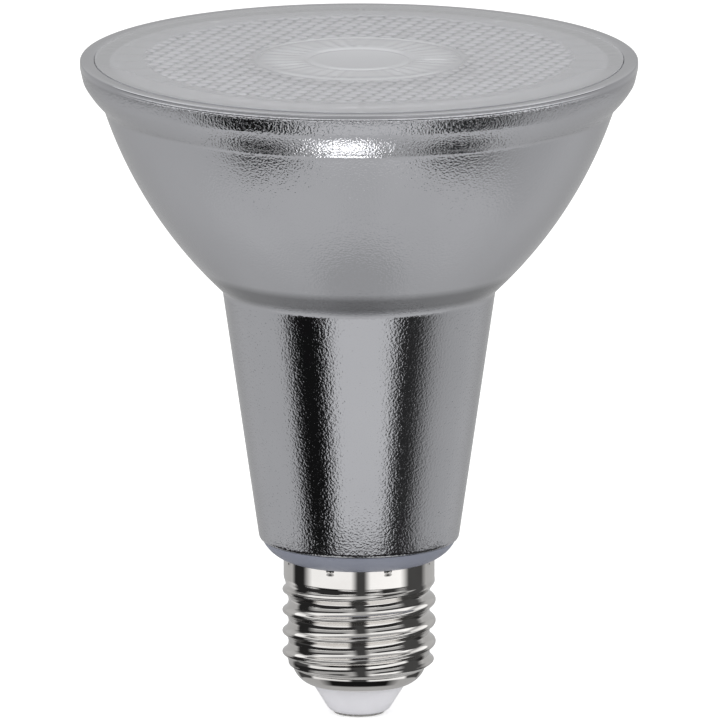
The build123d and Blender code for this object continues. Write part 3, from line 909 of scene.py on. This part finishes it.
def gateByLength(tree, glow, reach, shortRays=True, skip=None, gaps=None):
    new, link = tree.nodes.new, tree.links.new
    path = new("ShaderNodeLightPath")
    far = riseNode(tree, path.outputs["Ray Length"], *(edge * mm for edge in reach))
    if skip:  # LESS_THAN skips rays mirrored once, GREATER_THAN those mirrored again
        far = mathNode(tree, "MAXIMUM", far, mathNode(tree, skip, path.outputs["Ray Depth"], 1.5))
    if gaps:
        far = mathNode(tree, "MAXIMUM", far, gaps)
    blend = new("ShaderNodeMixShader")
    link(far, blend.inputs[0])
    link(glow.outputs[0], blend.inputs[1 if shortRays else 2])
    link(new("ShaderNodeBsdfTransparent").outputs[0], blend.inputs[2 if shortRays else 1])
    link(blend.outputs[0], tree.nodes["Material Output"].inputs["Surface"])


def asCard(card, material):
    card.data.materials.append(material)
    card.visible_camera = False
    card.visible_diffuse = False
    card.visible_transmission = False
    card.visible_shadow = False


def glowMaterial(name):
    material, tree, bsdf = startMaterial(name)
    material.cycles.emission_sampling = "NONE"
    tree.nodes.remove(bsdf)
    return material, tree, tree.nodes.new("ShaderNodeEmission")


def makeNearCard():
    s = nearCard
    bm = bmesh.new()
    bmesh.ops.create_circle(bm, cap_ends=True, segments=s["segments"], radius=s["radius"] * mm)
    card = toObject(bm, "nearCard")
    card.location.z = -s["drop"] * mm
    material, tree, glow = glowMaterial("nearCardShadowGlow")
    turn = bearingOf(tree, objectPlace(tree))[0]
    # painted shadow in the dark rings; the bright sectors glow as light
    tree.links.new(stackBands(tree, axisDistance(tree), turn, s["rings"], s["blend"]), glow.inputs["Color"])
    gateByLength(tree, glow, s["reach"], skip="GREATER_THAN")
    asCard(card, material)


def makeFarCards():
    for name, (centre, size, turn, level, reach) in farCards.items():
        bm = bmesh.new()
        bmesh.ops.create_circle(bm, cap_ends=True, segments=farCardShape["segments"], radius=mm)
        card = toObject(bm, name)
        card.location = (centre[0] * mm, centre[1] * mm, -farCardShape["drop"] * mm)
        card.scale = (*size, 1)
        card.rotation_euler.z = math.radians(turn)
        material, tree, glow = glowMaterial(name + "Paper")
        glow.inputs["Strength"].default_value = level
        gateByLength(tree, glow, reach, shortRays=False)
        asCard(card, material)


def ringCard(name, radius, low, high):
    bm = bmesh.new()
    addSpin(bm, [(radius, low), (radius, high)], ringSegments)
    card = toObject(bm, name)
    material, tree, glow = glowMaterial(name + "Paper")
    turn = bearingOf(tree, objectPlace(tree))[0]
    asCard(card, material)
    return tree, glow, turn


def makeGlintRing():
    s = glintRing
    tree, glow, turn = ringCard("glintRing", s["radius"], s["low"], s["high"])
    tree.links.new(bearingRamp(tree, turn, s["stops"]), glow.inputs["Color"])
    gateByLength(tree, glow, s["reach"], skip="LESS_THAN")


def makeFlags():
    s = flags
    tree, glow, turn = ringCard("capFlags", s["radius"], 0, s["height"])
    tree.links.new(bearingRamp(tree, turn, s["tones"]), glow.inputs["Color"])
    gateByLength(tree, glow, s["reach"], gaps=bearingRamp(tree, turn, s["gaps"]))


floorSheet = {
    "size": 4.0,  # half the width, in metres
    "drop": 0.02,  # mm
    "tone": (0.82, 0.82, 0.82),
    "darker": 0.985,
    "noise": 3.0,
    "roughness": 0.9,
    "specular": 0.1,
    "glow": 0.5,
}


def makeFloor():
    s = floorSheet
    bm = bmesh.new()
    bmesh.ops.create_grid(bm, x_segments=8, y_segments=8, size=s["size"])
    floor = toObject(bm, "floorSheet")
    floor.location.z = -s["drop"] * mm
    material, tree, bsdf = startMaterial("floorPaper")
    darker = tuple(s["darker"] * c for c in s["tone"])
    tone = twoTones(tree, noiseField(tree, s["noise"]), darker, s["tone"])
    tree.links.new(tone, bsdf.inputs["Base Color"])
    bsdf.inputs["Roughness"].default_value = s["roughness"]
    bsdf.inputs["Specular IOR Level"].default_value = s["specular"]
    bsdf.inputs["Emission Color"].default_value = (1, 1, 1, 1)
    path = tree.nodes.new("ShaderNodeLightPath")
    glow = between(tree, path.outputs["Is Camera Ray"], 0.0, s["glow"], 0, 1)
    tree.links.new(glow, bsdf.inputs["Emission Strength"])
    floor.data.materials.append(material)
    floor.visible_glossy = False  # bright metal mirrors the tent instead
    floor.visible_transmission = False


lamps = {
    "key": {"place": (-0.9, -1.1, 1.3), "size": 0.9, "power": 9.0},
    "fill": {"place": (1.1, -0.8, 0.9), "size": 1.0, "power": 5.0},
}
lampAim = Vector((0, 0, 0.06))


def makeLamps():
    for name, lamp in lamps.items():
        light = bpy.data.lights.new(name, "AREA")
        light.energy = lamp["power"]
        light.size = lamp["size"]
        holder = bpy.data.objects.new(name, light)
        holder.location = lamp["place"]
        holder.rotation_mode = "QUATERNION"
        holder.rotation_quaternion = (lampAim - holder.location).to_track_quat("-Z", "Y")
        holder.visible_glossy = False
        holder.visible_transmission = False
        scene.collection.objects.link(holder)


view = {
    "lens": 1600.0,
    "distance": 5.4538,
    "elevation": 12.25,
    "aim": (0.00016, 0.0, 0.0615),
    "clipEnd": 20.0,
}


def makeCamera():
    data = bpy.data.cameras.new("frontCamera")
    data.lens = view["lens"]
    data.clip_end = view["clipEnd"]
    camera = bpy.data.objects.new("frontCamera", data)
    scene.collection.objects.link(camera)
    tilt = math.radians(view["elevation"])
    back = Vector((0, -math.cos(tilt), math.sin(tilt)))
    camera.location = Vector(view["aim"]) + back * view["distance"]
    camera.rotation_mode = "QUATERNION"
    camera.rotation_quaternion = (-back).to_track_quat("-Z", "Y")
    scene.camera = camera


makeGlass()
makeLens()
makeShell()
makeCollar()
makeInsulator()
makeContact()
finishInside()
makeWorld()
makeNearCard()
makeFarCards()
makeGlintRing()
makeFlags()
makeFloor()
makeLamps()
makeCamera()
print("studio ready")
